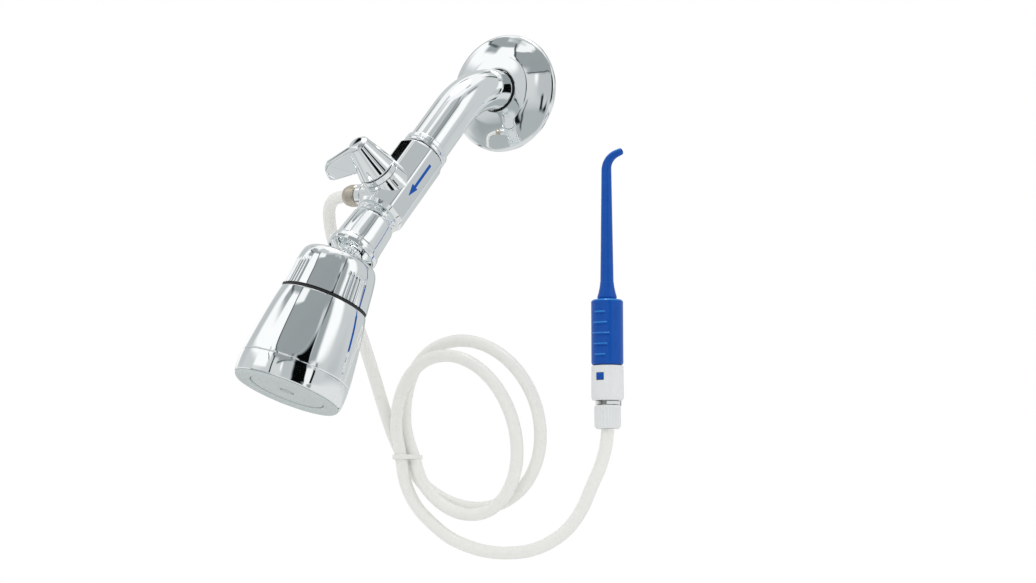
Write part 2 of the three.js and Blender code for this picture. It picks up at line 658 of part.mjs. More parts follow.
const buttonSpring = () => tubeRing(0.9, 1.4, 0, 0.6, 12)
  .rotate([-90, 0, 0])
  .translate([0, -5.5, BUTTON_HEIGHT]);

const nozzleSocket = () => tubeRing(3.4, 4.2, -158.8, GRIP_BOTTOM - 0.6, 16);

class NozzleTip extends THREE.Curve {
  getPoint(t, target = new THREE.Vector3()) {
    const radius = 8;
    const sweep = 72 * DEG;
    const rise = 0.6;
    const reach = 3;
    const s = t * (rise + radius * sweep + reach);
    if (s <= rise) return target.set(0, 0, NOZZLE_TOP - rise + s);
    const angle = Math.min((s - rise) / radius, sweep);
    const rest = Math.max(0, s - rise - radius * sweep);
    const x = radius * (1 - Math.cos(angle)) + rest * Math.sin(angle);
    return target.set(x, 0, NOZZLE_TOP + radius * Math.sin(angle) + rest * Math.cos(angle));
  }
}

function nozzle() {
  const straight = turned([
    [0.8, -157], [3, -157], [3, -155], [2.1, -155], [2.1, -153.4], [3, -153.4], [3, GRIP_TOP + GAP],
    [4.45, GRIP_TOP + GAP], [4.45, CONE_BOTTOM - 0.1], [4.95, CONE_BOTTOM], [3.35, STEM_BOTTOM],
    [2.5, NOZZLE_TOP], [0.8, NOZZLE_TOP],
  ], 12);
  return straight.add(pipe(new NozzleTip(), 2.2, 7, 5, 0.8));
}

const nozzleORing = () => oRing(2.75, 0.5, -154.2);

function tipGrip() {
  const shell = turned([
    [3.3, GRIP_TOP], [7.3, GRIP_TOP], [7.95, GRIP_TOP - 0.7], [7.95, GRIP_BOTTOM + 1], [7.5, GRIP_BOTTOM],
    [6.4, GRIP_BOTTOM], [6.4, GRIP_TOP - 3], [4.8, GRIP_TOP - 3], [4.8, GRIP_BOTTOM + 1],
    [3.3, GRIP_BOTTOM + 1],
  ], 22);
  const ribs = [22, 31, 39, 31, 22].map((halfAngle, i) => {
    const height = GRIP_TOP - 5.6 - 5.3 * i;
    const side = 12 * Math.tan(halfAngle * DEG);
    const sector = plate([[0, 0], [-side, -12], [side, -12]], height - 0.5, height + 0.5);
    return tubeRing(7.2, 8.3, height - 0.5, height + 0.5, 22).intersect(sector);
  });
  return ribs.reduce((body, rib) => body.add(rib), shell);
}

function wandClip() {
  const ring = tubeRing(NECK_RADIUS + GAP, 5.95, CLIP_BOTTOM, CLIP_TOP, 24);
  const thickness = CLIP_TOP - CLIP_BOTTOM;
  const middle = (CLIP_TOP + CLIP_BOTTOM) / 2;
  const mouth = box(0, -6, middle, 4.4, 8, 4);
  const arm = box(0, 6.6, middle, 4, 4, thickness);
  const wallPlate = box(0, 8.55, -158.7, 4.6, 1.1, 14);
  return ring.subtract(mouth).add(arm).add(wallPlate);
}

const clipPad = () => box(0, 9.7, -158.7, 4.6, 0.6, 14);

addNode(wand, "wand_hose_nut", wandNut(), whitePlastic);
addNode(wand, "wand_ferrule", wandFerrule(), brass);
addNode(wand, "wand_spigot", wandSpigot(), greyPlastic);
addNode(wand, "wand_base", wandBase(), whitePlastic);
addNode(wand, "release_button", releaseButton(), bluePlastic);
addNode(wand, "button_spring", buttonSpring(), steel);
addNode(wand, "nozzle_socket", nozzleSocket(), greyPlastic);
addNode(wand, "nozzle", nozzle(), bluePlastic);
addNode(wand, "nozzle_o_ring", nozzleORing(), rubber);
addNode(wand, "tip_grip", tipGrip(), bluePlastic);
addNode(wand, "wand_clip", wandClip(), whitePlastic);
addNode(wand, "clip_pad", clipPad(), rubber);

export default flosser;
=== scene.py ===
"""Looks of the shower-mounted water flosser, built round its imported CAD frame.

Sizes are millimetres in each group's own frame, as in the CAD source, and are scaled to metres once.
"""
import json
import math

import bmesh
import bpy
from mathutils import Matrix, Vector


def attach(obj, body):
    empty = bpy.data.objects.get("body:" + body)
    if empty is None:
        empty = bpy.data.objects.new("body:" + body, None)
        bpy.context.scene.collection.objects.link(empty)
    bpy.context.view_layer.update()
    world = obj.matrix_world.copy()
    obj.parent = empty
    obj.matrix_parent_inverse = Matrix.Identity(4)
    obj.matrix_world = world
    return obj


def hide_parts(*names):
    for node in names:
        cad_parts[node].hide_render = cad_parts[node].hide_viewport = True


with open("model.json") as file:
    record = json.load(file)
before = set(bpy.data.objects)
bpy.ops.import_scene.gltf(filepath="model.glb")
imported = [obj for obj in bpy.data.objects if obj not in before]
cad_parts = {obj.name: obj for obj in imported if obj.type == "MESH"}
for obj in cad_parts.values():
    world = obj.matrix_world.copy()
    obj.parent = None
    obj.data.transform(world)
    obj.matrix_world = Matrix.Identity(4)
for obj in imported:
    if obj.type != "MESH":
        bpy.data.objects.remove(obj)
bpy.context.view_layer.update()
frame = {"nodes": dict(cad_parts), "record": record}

MM = 0.001
DEG = math.pi / 180
scene = bpy.context.scene

# ---------------------------------------------------------------- camera

LENS = 67.17
CAMERA_PLACE = (0.51896, -0.85054, -0.21984)
CAMERA_PITCH = 96.6
CAMERA_HEADING = 31

camera_data = bpy.data.cameras.new("camera")
camera_data.sensor_width = 36
camera_data.lens = LENS
camera_data.clip_start = 0.02
camera_data.clip_end = 60
camera = bpy.data.objects.new("camera", camera_data)
camera.location = CAMERA_PLACE
camera.rotation_euler = (CAMERA_PITCH * DEG, 0, CAMERA_HEADING * DEG)
scene.collection.objects.link(camera)
scene.camera = camera

# ---------------------------------------------------------------- the CAD's frames

ARM_BEND = 54
ARM_BEND_RADIUS = 46.5
ARM_STRAIGHT = 7
ARM_DROP = 25.5
ARM_TILT = 14.5
VALVE_ROLL = 16
LEVER_STATION = 30.7
OUTLET_STATION = 31.4
BALL_STATION = 89
HEAD_ROLL = -9.6
HEAD_TILT = 17.5
WAND = (65.5, -10)

bend_end = (
    -(ARM_STRAIGHT + ARM_BEND_RADIUS * math.sin(ARM_BEND * DEG)),
    -ARM_BEND_RADIUS * (1 - math.cos(ARM_BEND * DEG)),
)
arm_end = Vector((
    0,
    bend_end[0] - ARM_DROP * math.cos(ARM_BEND * DEG),
    bend_end[1] - ARM_DROP * math.sin(ARM_BEND * DEG),
))


def turn(axis, degrees):
    return Matrix.Rotation(degrees * DEG, 4, axis)


WALL = Matrix.Identity(4)
ARM = turn("Y", ARM_TILT)
PIPE_END = ARM @ Matrix.Translation(arm_end) @ turn("X", 90 + ARM_BEND)
VALVE = PIPE_END @ turn("Z", VALVE_ROLL)
LEVER = VALVE @ Matrix.Translation((0, 0, LEVER_STATION)) @ turn("X", -90)
OUTLET = VALVE @ Matrix.Translation((0, 0, OUTLET_STATION)) @ turn("Y", -90)
HEAD = VALVE @ Matrix.Translation((0, 0, BALL_STATION)) @ turn("Z", HEAD_ROLL) @ turn("X", HEAD_TILT)
HAND = Matrix.Translation((WAND[0], WAND[1], 0))

# ---------------------------------------------------------------- material helpers


class Nodes:
    """A short way to write a node tree."""

    def __init__(self, tree):
        self.tree = tree
        tree.nodes.clear()

    def add(self, kind, **settings):
        node = self.tree.nodes.new(kind)
        for name, value in settings.items():
            setattr(node, name, value)
        return node

    def link(self, source, target):
        self.tree.links.new(source, target)

    def value(self, node, socket, source):
        """Sets or links one input."""
        if isinstance(source, bpy.types.NodeSocket):
            self.link(source, node.inputs[socket])
        else:
            node.inputs[socket].default_value = source

    def math(self, operation, a, b=0.0, clamp=False):
        node = self.add("ShaderNodeMath", operation=operation, use_clamp=clamp)
        self.value(node, 0, a)
        self.value(node, 1, b)
        return node.outputs[0]

    def noise(self, scale, detail=3.0, stretch=(1, 1, 1)):
        where = self.add("ShaderNodeTexCoord").outputs["Object"]
        mapping = self.add("ShaderNodeMapping")
        mapping.inputs["Scale"].default_value = stretch
        self.link(where, mapping.inputs["Vector"])
        node = self.add("ShaderNodeTexNoise")
        node.inputs["Scale"].default_value = scale
        node.inputs["Detail"].default_value = detail
        self.link(mapping.outputs[0], node.inputs["Vector"])
        return node.outputs[0]

    def between(self, source, low, high):
        """Maps 0.3-0.7 of a value to a range."""
        node = self.add("ShaderNodeMapRange")
        self.link(source, node.inputs["Value"])
        node.inputs["From Min"].default_value = 0.3
        node.inputs["From Max"].default_value = 0.7
        node.inputs["To Min"].default_value = low
        node.inputs["To Max"].default_value = high
        return node.outputs[0]

    def colours(self, source, dark, light):
        node = self.add("ShaderNodeValToRGB")
        node.color_ramp.elements[0].position = 0.3
        node.color_ramp.elements[1].position = 0.7
        node.color_ramp.elements[0].color = (*dark, 1)
        node.color_ramp.elements[1].color = (*light, 1)
        self.link(source, node.inputs[0])
        return node.outputs[0]

    def bump(self, height, strength, distance):
        node = self.add("ShaderNodeBump")
        node.inputs["Strength"].default_value = strength
        node.inputs["Distance"].default_value = distance
        self.link(height, node.inputs["Height"])
        return node.outputs[0]


def material(
    name, dark, light, rough, metallic=0.0, grain=400, bump=0.15, fine=1500, crest_and_painted_highlight=None, **sockets
):
    """A procedural material: colour drifts between two tones, roughness between two values, fine bump.

    The colour given for faces that look up is a painted highlight: faces are painted paler the more they turn
    upward, as if lit from above. sockets are the shader's own values.
    """
    made = bpy.data.materials.new(name)
    made.use_nodes = True
    nodes = Nodes(made.node_tree)
    shader = nodes.add("ShaderNodeBsdfPrincipled")
    out = nodes.add("ShaderNodeOutputMaterial")
    nodes.link(shader.outputs[0], out.inputs["Surface"])
    drift = nodes.noise(grain)
    colour = nodes.colours(drift, dark, light)
    # Painted highlight: surfaces whose normal points up are mixed towards a paler colour, as if lit from
    # above.
    if crest_and_painted_highlight:
        up = nodes.add("ShaderNodeSeparateXYZ")
        nodes.link(nodes.add("ShaderNodeNewGeometry").outputs["Normal"], up.inputs[0])
        painted_highlight_mix = nodes.add("ShaderNodeMix", data_type="RGBA")
        nodes.link(nodes.between(up.outputs[2], 0, 1), painted_highlight_mix.inputs[0])
        nodes.link(colour, painted_highlight_mix.inputs[6])
        painted_highlight_mix.inputs[7].default_value = (*crest_and_painted_highlight, 1)
        colour = painted_highlight_mix.outputs[2]
    nodes.link(colour, shader.inputs["Base Color"])
    nodes.link(nodes.between(nodes.noise(grain * 1.7), *rough), shader.inputs["Roughness"])
    shader.inputs["Metallic"].default_value = metallic
    if bump:
        nodes.link(nodes.bump(nodes.noise(fine, 2.0), bump, 0.0002), shader.inputs["Normal"])
    for socket, value in sockets.items():
        shader.inputs[socket.replace("_", " ")].default_value = value
    return made


chrome = material("chrome", (0.9, 0.925, 0.93), (0.93, 0.95, 0.955), (0.015, 0.035), 1.0, 60, 0.006, 90)
brass = material("nickel_brass", (0.58, 0.52, 0.43), (0.66, 0.6, 0.51), (0.25, 0.38), 1.0, 900, 0.12, 1600)
steel = material("steel", (0.5, 0.52, 0.53), (0.62, 0.64, 0.65), (0.25, 0.4), 1.0, 500, 0.1)
rubber = material("rubber", (0.010, 0.011, 0.012), (0.016, 0.017, 0.018), (0.5, 0.6), 0.0, 500, 0.1)
white = material(
    "white_plastic", (0.79, 0.81, 0.81), (0.81, 0.83, 0.83), (0.3, 0.36), 0.0, 200, 0.02,
    Coat_Weight=0.1,
)
grey = material("grey_plastic", (0.42, 0.44, 0.43), (0.46, 0.48, 0.47), (0.4, 0.5), 0.0, 300, 0.05)
frost = material("frosted_plastic", (0.55, 0.6, 0.6), (0.57, 0.62, 0.62), (0.5, 0.56), 0.0, 120, 0)
blue = material(
    "blue_plastic", (0.002, 0.074, 0.39), (0.003, 0.084, 0.43), (0.2, 0.26), 0.0, 260, 0.03,
    # Paler blue painted on faces that look up: a painted highlight, as if lit from above.
    crest_and_painted_highlight=(0.02, 0.26, 0.72), Specular_IOR_Level=0.25,
)
vinyl = material(
    "hose_vinyl", (0.87, 0.87, 0.835), (0.885, 0.885, 0.85), (0.26, 0.31), 0.0, 120, 0, Coat_Weight=0.1,
)

# ---------------------------------------------------------------- hose

HOSE_RADIUS = 3.2
TIE_Z = -190
TIE_PASSES = [(-54, -12.8), (-44.8, -17), (-48.6, -23.2)]
TURNS = [  # centre, half width, half height, distance from the wall, leaving share
    ((-7.8, -173.2), 43.6, 43, 12.6, 0.12),
    ((-14.8, -179), 35.2, 40.6, 21.2, 0.08),
]
TURN_POINTS = 16
TURN_SLANT = 12 * DEG
ARRIVE = 0.12
CURVE_STEPS = 8
FEED_ROUTE = [
    (-49.6, -70.4, -60.2), (-55.9, -68.4, -59.9), (-62.4, -64.6, -59.9), (-67.9, -60.4, -61.4),
    (-72, -56.1, -64.4), (-74.6, -52.1, -68.8), (-75.8, -48.6, -74.5), (-76.1, -44.5, -82.4),
    (-75.5, -39.5, -94.9), (-73.4, -35.1, -109.1), (-70.4, -31, -123.2), (-67.4, -27, -137.2),
    (-64.7, -23, -151.2), (-62.3, -18.8, -165.2), (-59.4, -14.8, -178.4),
]
LEAD_ROUTE = [
    (-48.6, -23.2, -190), (-45.5, -23.4, -203.4), (-38.7, -23.4, -215.2), (-26.9, -23, -225.8),
    (-17.2, -23, -231.8), (-6.7, -22.5, -235.7), (4.8, -22, -238.1), (15.9, -21, -238.5),
    (26.6, -19.5, -237.2), (36.9, -17.5, -233.2), (46, -15.5, -226.4), (52.8, -13.5, -216.8),
    (57.6, -12, -205.6), (61.8, -10.6, -195.5), (64.6, -10.1, -185.5), (65.5, -10, -177.9),
]


def ease(t):
    t = min(1, max(0, t))
    return t * t * (3 - 2 * t)


def mix(a, b, t):
    return a + (b - a) * t


def turn_points(shape, start, end):
    (cx, cz), half_width, half_height, distance, leave = shape

    def oval(angle):
        return cx + half_width * math.cos(angle), cz + half_height * math.sin(angle - TURN_SLANT)

    first = TURN_SLANT + math.pi + math.asin((cz - TIE_Z) / half_height)
    at_tie = oval(first)[0]
    points = []
    for i in range(TURN_POINTS):
        t = i / TURN_POINTS
        x, z = oval(first + 2 * math.pi * t)
        y = mix(mix(start[1], -distance, ease(t / leave)), end[1], ease((t - 1 + ARRIVE) / ARRIVE))
        points.append((x + mix(start[0], end[0], ease(t)) - at_tie, y, z))
    return points


def centripetal(points):
    """A centripetal Catmull-Rom curve through points, in CURVE_STEPS steps from each to the next."""
    known = [Vector(p) for p in points]
    known = [2 * known[0] - known[1], *known, 2 * known[-1] - known[-2]]
    line = []
    for p0, p1, p2, p3 in zip(known, known[1:], known[2:], known[3:]):
        t1 = (p1 - p0).length ** 0.5
        t2 = t1 + (p2 - p1).length ** 0.5
        t3 = t2 + (p3 - p2).length ** 0.5
        for j in range(CURVE_STEPS):
            t = mix(t1, t2, j / CURVE_STEPS)
            a1 = p0.lerp(p1, t / t1)
            a2 = p1.lerp(p2, (t - t1) / (t2 - t1))
            a3 = p2.lerp(p3, (t - t2) / (t3 - t2))
            b1 = a1.lerp(a2, t / t2)
            b2 = a2.lerp(a3, (t - t1) / (t3 - t1))
            line.append(b1.lerp(b2, (t - t1) / (t2 - t1)))
    line.append(known[-2])
    return line


route = centripetal(
    FEED_ROUTE
    + turn_points(TURNS[0], TIE_PASSES[0], TIE_PASSES[1])
    + turn_points(TURNS[1], TIE_PASSES[1], TIE_PASSES[2])
    + LEAD_ROUTE
)

hose_data = bpy.data.curves.new("hose", "CURVE")
hose_data.dimensions = "3D"
hose_data.bevel_depth = HOSE_RADIUS * MM
hose_data.bevel_resolution = 6
hose_data.use_fill_caps = True
spline = hose_data.splines.new("POLY")
spline.points.add(len(route) - 1)
for point, place in zip(spline.points, route):
    point.co = (*(place * MM), 1)
spline.use_smooth = True
hose_data.materials.append(vinyl)
hose = bpy.data.objects.new("hose", hose_data)
scene.collection.objects.link(hose)
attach(hose, "base")
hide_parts("hose_feed", "hose_turns", "hose_lead")

# ---------------------------------------------------------------- mesh helpers


def settle(name, mesh, place, body, finish, nodes=(), smooth=35):
    """Puts a millimetre mesh in its frame, in metres, riding on its body."""
    mesh.transform(Matrix.Scale(MM, 4) @ place)
    mesh.materials.append(finish)
    mesh.shade_smooth()
    mesh.set_sharp_from_angle(angle=smooth * DEG)
    piece = bpy.data.objects.new(name, mesh)
    scene.collection.objects.link(piece)
    piece.modifiers.new("even_shading", "WEIGHTED_NORMAL").keep_sharp = True
    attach(piece, body)
    if nodes:
        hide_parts(*nodes)
    return piece


def rounded(outline, steps=4):
    """Rounds the corners of an outline. Each point is (a, b) or (a, b, corner radius)."""
    made = []
    count = len(outline)
    for i, point in enumerate(outline):
        here = Vector(point[:2])
        radius = point[2] if len(point) > 2 else 0
        if not radius:
            made.append(here)
            continue
        before = Vector(outline[i - 1][:2]) - here
        after = Vector(outline[(i + 1) % count][:2]) - here
        angle = before.angle(after)
        if angle > math.pi - 0.01:
            made.append(here)
            continue
        reach = radius / math.tan(angle / 2)
        longest = 0.49 * min(before.length, after.length)
        if reach > longest:
            reach = longest
            radius = reach * math.tan(angle / 2)
        start = here + before.normalized() * reach
        end = here + after.normalized() * reach
        inward = (before.normalized() + after.normalized()).normalized()
        middle = here + inward * (radius / math.sin(angle / 2))
        first = math.atan2(start.y - middle.y, start.x - middle.x)
        sweep = math.atan2(end.y - middle.y, end.x - middle.x) - first
        sweep = (sweep + math.pi) % (2 * math.pi) - math.pi
        for k in range(steps + 1):
            angle_k = first + sweep * k / steps
            made.append(middle + radius * Vector((math.cos(angle_k), math.sin(angle_k))))
    return [tuple(p) for p in made]


def curve(*points):
    """A smooth run of (a, b) points through a few given ones."""
    return [(p.x, p.y) for p in centripetal([(a, b, 0) for a, b in points])]


def split(outline, longest):
    """Adds points so that no step of an outline is longer than longest."""
    made = []
    for a, b in zip(outline, outline[1:] + outline[:1]):
        steps = max(1, math.ceil(math.dist(a, b) / longest))
        made += [(mix(a[0], b[0], k / steps), mix(a[1], b[1], k / steps)) for k in range(steps)]
    return made


def spin(outline, segments=96, shape=None):
    """A closed outline of (radius, z) turned about Z. shape(radius, z, angle) gives a point's radius."""
    made = bmesh.new()
    rings = []
    for i in range(segments):
        angle = 2 * math.pi * i / segments
        ring = []
        for radius, z in outline:
            r = shape(radius, z, angle) if shape else radius
            ring.append(made.verts.new((r * math.cos(angle), r * math.sin(angle), z)))
        rings.append(ring)
    count = len(outline)
    for i in range(segments):
        a, b = rings[i], rings[(i + 1) % segments]
        for k in range(count):
            n = (k + 1) % count
            made.faces.new((a[k], b[k], b[n], a[n]))
    bmesh.ops.remove_doubles(made, verts=made.verts, dist=1e-5)
    bmesh.ops.dissolve_degenerate(made, edges=made.edges, dist=1e-6)
    return made


def facing_out(made):
    bmesh.ops.recalc_face_normals(made, faces=made.faces)
    mesh = bpy.data.meshes.new("mesh")
    made.to_mesh(mesh)
    made.free()
    return mesh


def turned(outline, segments=96, shape=None, steps=4):
    return facing_out(spin(rounded(outline, steps), segments, shape))


def ring_round(made, centre, side, up, radius, sides):
    """The corners of a ring round a centre, in the plane of side and up."""
    corners = []
    for k in range(sides):
        angle = 2 * math.pi * k / sides
        corners.append(made.verts.new(centre + radius * (math.cos(angle) * side + math.sin(angle) * up)))
    return corners


def bridge(made, a, b):
    """Joins two rings of as many corners by a band of faces."""
    for k in range(len(a)):
        n = (k + 1) % len(a)
        made.faces.new((a[k], a[n], b[n], b[k]))


def sweep(stations, sides):
    """A closed solid through stations of (centre, direction, radius), closed flat at its ends."""
    made = bmesh.new()
    rings = []
    for centre, direction, radius in stations:
        across = Vector((0, 1, 0))
        side = direction.cross(across).normalized()
        up = side.cross(direction).normalized()
        rings.append(ring_round(made, centre, side, up, radius, sides))
    for a, b in zip(rings, rings[1:]):
        bridge(made, a, b)
    made.faces.new(rings[0])
    made.faces.new(rings[-1])
    return facing_out(made)


def slab(outline, low, high, bevel=0.0, steps=3):
    """A flat outline in XY, thick along Z, with rounded edges."""
    made = bmesh.new()
    face = made.faces.new([made.verts.new((x, y, low)) for x, y in outline])
    lifted = bmesh.ops.extrude_face_region(made, geom=[face])
    corners = [v for v in lifted["geom"] if isinstance(v, bmesh.types.BMVert)]
    bmesh.ops.translate(made, verts=corners, vec=(0, 0, high - low))
    bmesh.ops.recalc_face_normals(made, faces=made.faces)
    if bevel:
        rims = [e for e in made.edges if abs(e.verts[0].co.z - e.verts[1].co.z) < 1e-6]
        bmesh.ops.bevel(made, geom=rims, offset=bevel, segments=steps, profile=0.5, affect="EDGES")
    return facing_out(made)


def joined(*meshes):
    """Several meshes as one."""
    made = bmesh.new()
    for mesh in meshes:
        made.from_mesh(mesh)
    mesh = bpy.data.meshes.new("mesh")
    made.to_mesh(mesh)
    made.free()
    return mesh


def placed(mesh, *matrices):
    for matrix in matrices:
        mesh.transform(matrix)
    return mesh


# ---------------------------------------------------------------- wall flange and arm

PIPE_RADIUS = 10.65
BORE_RADIUS = 8
PIPE_SIDES = 72
PIPE_STEPS = 72
BEHIND_WALL = 8
THREAD_END = 17.9
THREAD_PITCH = 1.81
FLANGE_RADIUS = 31
FLANGE_HEIGHT = 9.2

flange = turned([
    (FLANGE_RADIUS - 0.5, 0), (FLANGE_RADIUS, 0.5),
    *curve(
        (FLANGE_RADIUS, 0.9), (30.95, 1.5), (30.6, 2.35), (29.9, 2.95), (28, 4), (26, 5.05), (23, 6.45),
        (20.4, 7.5), (19.3, 7.9), (18.4, 8.18), (15, 8.78), (12, FLANGE_HEIGHT),
    ),
    (11.2, FLANGE_HEIGHT, 0.3), (11.1, 7.4), (15.6, 7.2), (19.2, 6.4), (23, 4.9), (26.4, 3.2), (29, 1.4),
    (29.4, 0),
], 160)
flange.transform(turn("X", 90))
settle("wall_flange_skin", flange, WALL, "base", chrome, ["wall_flange"])


def arm_station(s):
    """Centre and direction on the arm's curve, s millimetres from its start behind the wall."""
    lead = BEHIND_WALL + ARM_STRAIGHT
    bend = ARM_BEND_RADIUS * ARM_BEND * DEG
    if s <= lead:
        return Vector((0, BEHIND_WALL - s, 0)), Vector((0, -1, 0))
    angle = min((s - lead) / ARM_BEND_RADIUS, ARM_BEND * DEG)
    rest = max(0, s - lead - bend)
    along = Vector((0, -math.cos(angle), -math.sin(angle)))
    centre = Vector((
        0,
        -ARM_STRAIGHT - ARM_BEND_RADIUS * math.sin(angle),
        -ARM_BEND_RADIUS * (1 - math.cos(angle)),
    ))
    return centre + along * rest, along


def tube_along(station, distances, outer, inner, sides):
    """A bored tube along a curve that lies in the YZ plane."""
    made = bmesh.new()
    across = Vector((1, 0, 0))
    shells = []
    for radius in (outer, inner):
        rings = []
        for s in distances:
            centre, along = station(s)
            up = across.cross(along).normalized()
            rings.append(ring_round(made, centre, across, up, radius, sides))
        for a, b in zip(rings, rings[1:]):
            bridge(made, a, b)
        shells.append(rings)
    for end in (0, -1):
        bridge(made, shells[0][end], shells[1][end])
    return facing_out(made)


def threaded(crest_and_painted_highlight, depth, low, high, inner, segments, lead_in):
    """A tube with a helical thread outside, which fades out over lead_in at its ends."""
    longest = THREAD_PITCH / 6
    fine = split([(crest_and_painted_highlight, low), (crest_and_painted_highlight, high)], longest)[: math.ceil((high - low) / longest) + 1]
    outline = [*fine, (inner, high), (inner, low)]

    def ridge(radius, z, angle):
        if radius < crest_and_painted_highlight - 1e-6:
            return radius
        phase = (z / THREAD_PITCH - angle / (2 * math.pi)) % 1
        height = 1 - abs(2 * phase - 1)
        end = min(1, (z - low) / lead_in, (high - z) / lead_in)
        return crest_and_painted_highlight - depth * (1 - max(0, end) * ease(1.3 * height))

    return facing_out(spin(outline, segments, ridge))


arm_length = BEHIND_WALL + ARM_STRAIGHT + ARM_BEND_RADIUS * ARM_BEND * DEG + ARM_DROP
arm_distances = [arm_length * i / PIPE_STEPS for i in range(PIPE_STEPS + 1)]
arm_tube = tube_along(arm_station, arm_distances, PIPE_RADIUS, BORE_RADIUS, PIPE_SIDES)
wall_thread = threaded(9.6, 0.7, BEHIND_WALL + 0.02, THREAD_END, BORE_RADIUS, PIPE_SIDES, 1.2)
wall_thread.transform(turn("X", -90))
settle("shower_arm_skin", joined(arm_tube, wall_thread), ARM, "base", chrome, ["shower_arm"])

# ---------------------------------------------------------------- diverter valve

collar = turned([
    (10.95, 0.1), (10.95, -1), (11.2, -1.1), (11.7, -0.6, 0.4), (11.8, 1.55, 0.25), (11.5, 1.75), (10.9, 1.8),
    (10.9, 2.1), (11.5, 2.15), (11.8, 2.35, 0.25), (11.8, 3.6, 0.3), (11.4, 4, 0.1), (10, 4), (10, 0.35),
    (10.95, 0.35),
], 128)
settle("inlet_collar_skin", collar, VALVE, "base", chrome, ["inlet_collar"])

FLAT_REACH = 12
HUB_RADIUS = 9.6
HUB_HEIGHT = 13
KNOB_BASE = 16.3
KNOB_TOP = 34.6
WING_HEADING = -132


def octagon(radius, z, angle):
    """Pulls a round section in to an octagon with slightly rounded corners."""
    if radius < FLAT_REACH - 3:
        return radius
    flat = (angle + 22.5 * DEG) % (45 * DEG) - 22.5 * DEG
    return min(radius, FLAT_REACH / math.cos(flat))


CORNER = 12.75
body = turned([
    (9.9, 4.6), (11.7, 4.6, 0.4), (CORNER, 5.9, 0.4), (CORNER, 44.4, 0.8), (11.4, 46.7, 0.7), (10.6, 47),
    (9.3, 47), (9.3, 5.2),
], 192, octagon)
spigot = threaded(10.5, 1.2, 46.4, 51.35, 7, 96, 0.3)
spigot_end = turned([(6.4, 51), (9.3, 51), (9.3, 58, 0.4), (6.4, 58)], 64)
hub = turned([
    (6.1, 0), (12, 4.4), (11.3, 7.5, 4), (10.3, 11.5, 3), (9.95, HUB_HEIGHT + 0.1, 0.15),
    (6.1, HUB_HEIGHT + 0.1),
], 128)
hub.transform(VALVE.inverted() @ LEVER)
outlet_boss = turned([
    (4, 5), (10.9, 5), (8.5, 11.4, 1.5), (8.3, 12.3, 0.3), (7.6, 12.7, 0.3), (4, 12.7),
], 96)
outlet_boss.transform(VALVE.inverted() @ OUTLET)
settle(
    "valve_body_skin", joined(body, spigot, spigot_end, hub, outlet_boss), VALVE, "base", chrome,
    ["valve_body"],
)

arrow = slab(
    [(-12, 0.7), (-27, 0.7), (-27, 2), (-33, 0), (-27, -2), (-27, -0.7), (-12, -0.7)][::-1], 0, 0.35, 0.1, 2
)
arrow.transform(Matrix.Translation((FLAT_REACH - 0.1, 0, 0)) @ turn("Y", 90))
settle("flow_arrow_skin", arrow, VALVE, "base", blue, ["flow_arrow"])

bonnet = turned([
    (4.2, 9.9), (5.7, 9.9), (5.7, 13.25), (9.93, 13.25, 0.15), (9.75, 16.05, 0.2), (4.2, 16.05),
], 96)
settle("bonnet_ring_skin", bonnet, LEVER, "base", chrome, ["bonnet_ring"])

knob = turned([
    (4.1, KNOB_BASE), (9.2, KNOB_BASE, 0.3), (HUB_RADIUS, KNOB_BASE + 0.8, 0.6), (5.5, KNOB_TOP - 1.3, 1.2),
    (3.6, KNOB_TOP, 1.5), (0, KNOB_TOP), (0, 27.3), (4.1, 27.3),
], 96, steps=6)
wing_side = rounded([
    (1, KNOB_TOP - 0.7), (17.2, KNOB_TOP - 0.6, 1), (20.2, KNOB_TOP - 2.6, 2.6), (21.4, 26.4, 2),
    (19.4, 24.7, 1.4), (9.6, 21.3, 0.4), (1, 19),
], 6)
wing = slab(wing_side[::-1], -2.4, 2.4, 1.1, 4)
wing.transform(turn("Z", WING_HEADING) @ turn("X", 90))
settle("lever_knob_skin", joined(knob, wing), LEVER, "lever", chrome, ["lever_knob"], 40)

NOSE_END = 34
fitting = turned([
    (1.3, 7), (3.7, 7), (3.7, 12.9), (7.2, 12.9, 0.3), (7.2, 14.6, 0.5), (6.1, 15.2, 0.3), (6.1, 15.8, 0.3),
    (6.7, 16.2, 0.3), (6.6, 18, 0.5), (5.7, 18.6, 0.3), (5.7, 19.3, 0.3), (6.1, 19.7, 0.3),
    (5.9, 23.4, 0.5), (5.2, 24.6, 0.2), (2.1, 24.7), (2.1, 33), (1.3, 33),
], 72)
settle("outlet_fitting_skin", fitting, OUTLET, "base", chrome, ["hose_outlet_fitting"])
outlet_nut = turned([
    (4.4, 25), (5.2, 25, 0.3), (5.6, 25.8, 0.4), (5.65, 30.6, 0.8), (5, 33.3, 0.6), (4.3, NOSE_END, 0.3),
    (3.45, NOSE_END, 0.2), (3.5, 31.2), (4.4, 31.2),
], 72)
settle("outlet_nut_skin", outlet_nut, OUTLET, "base", brass, ["hose_outlet_nut"])

# ---------------------------------------------------------------- swivel nut and ball

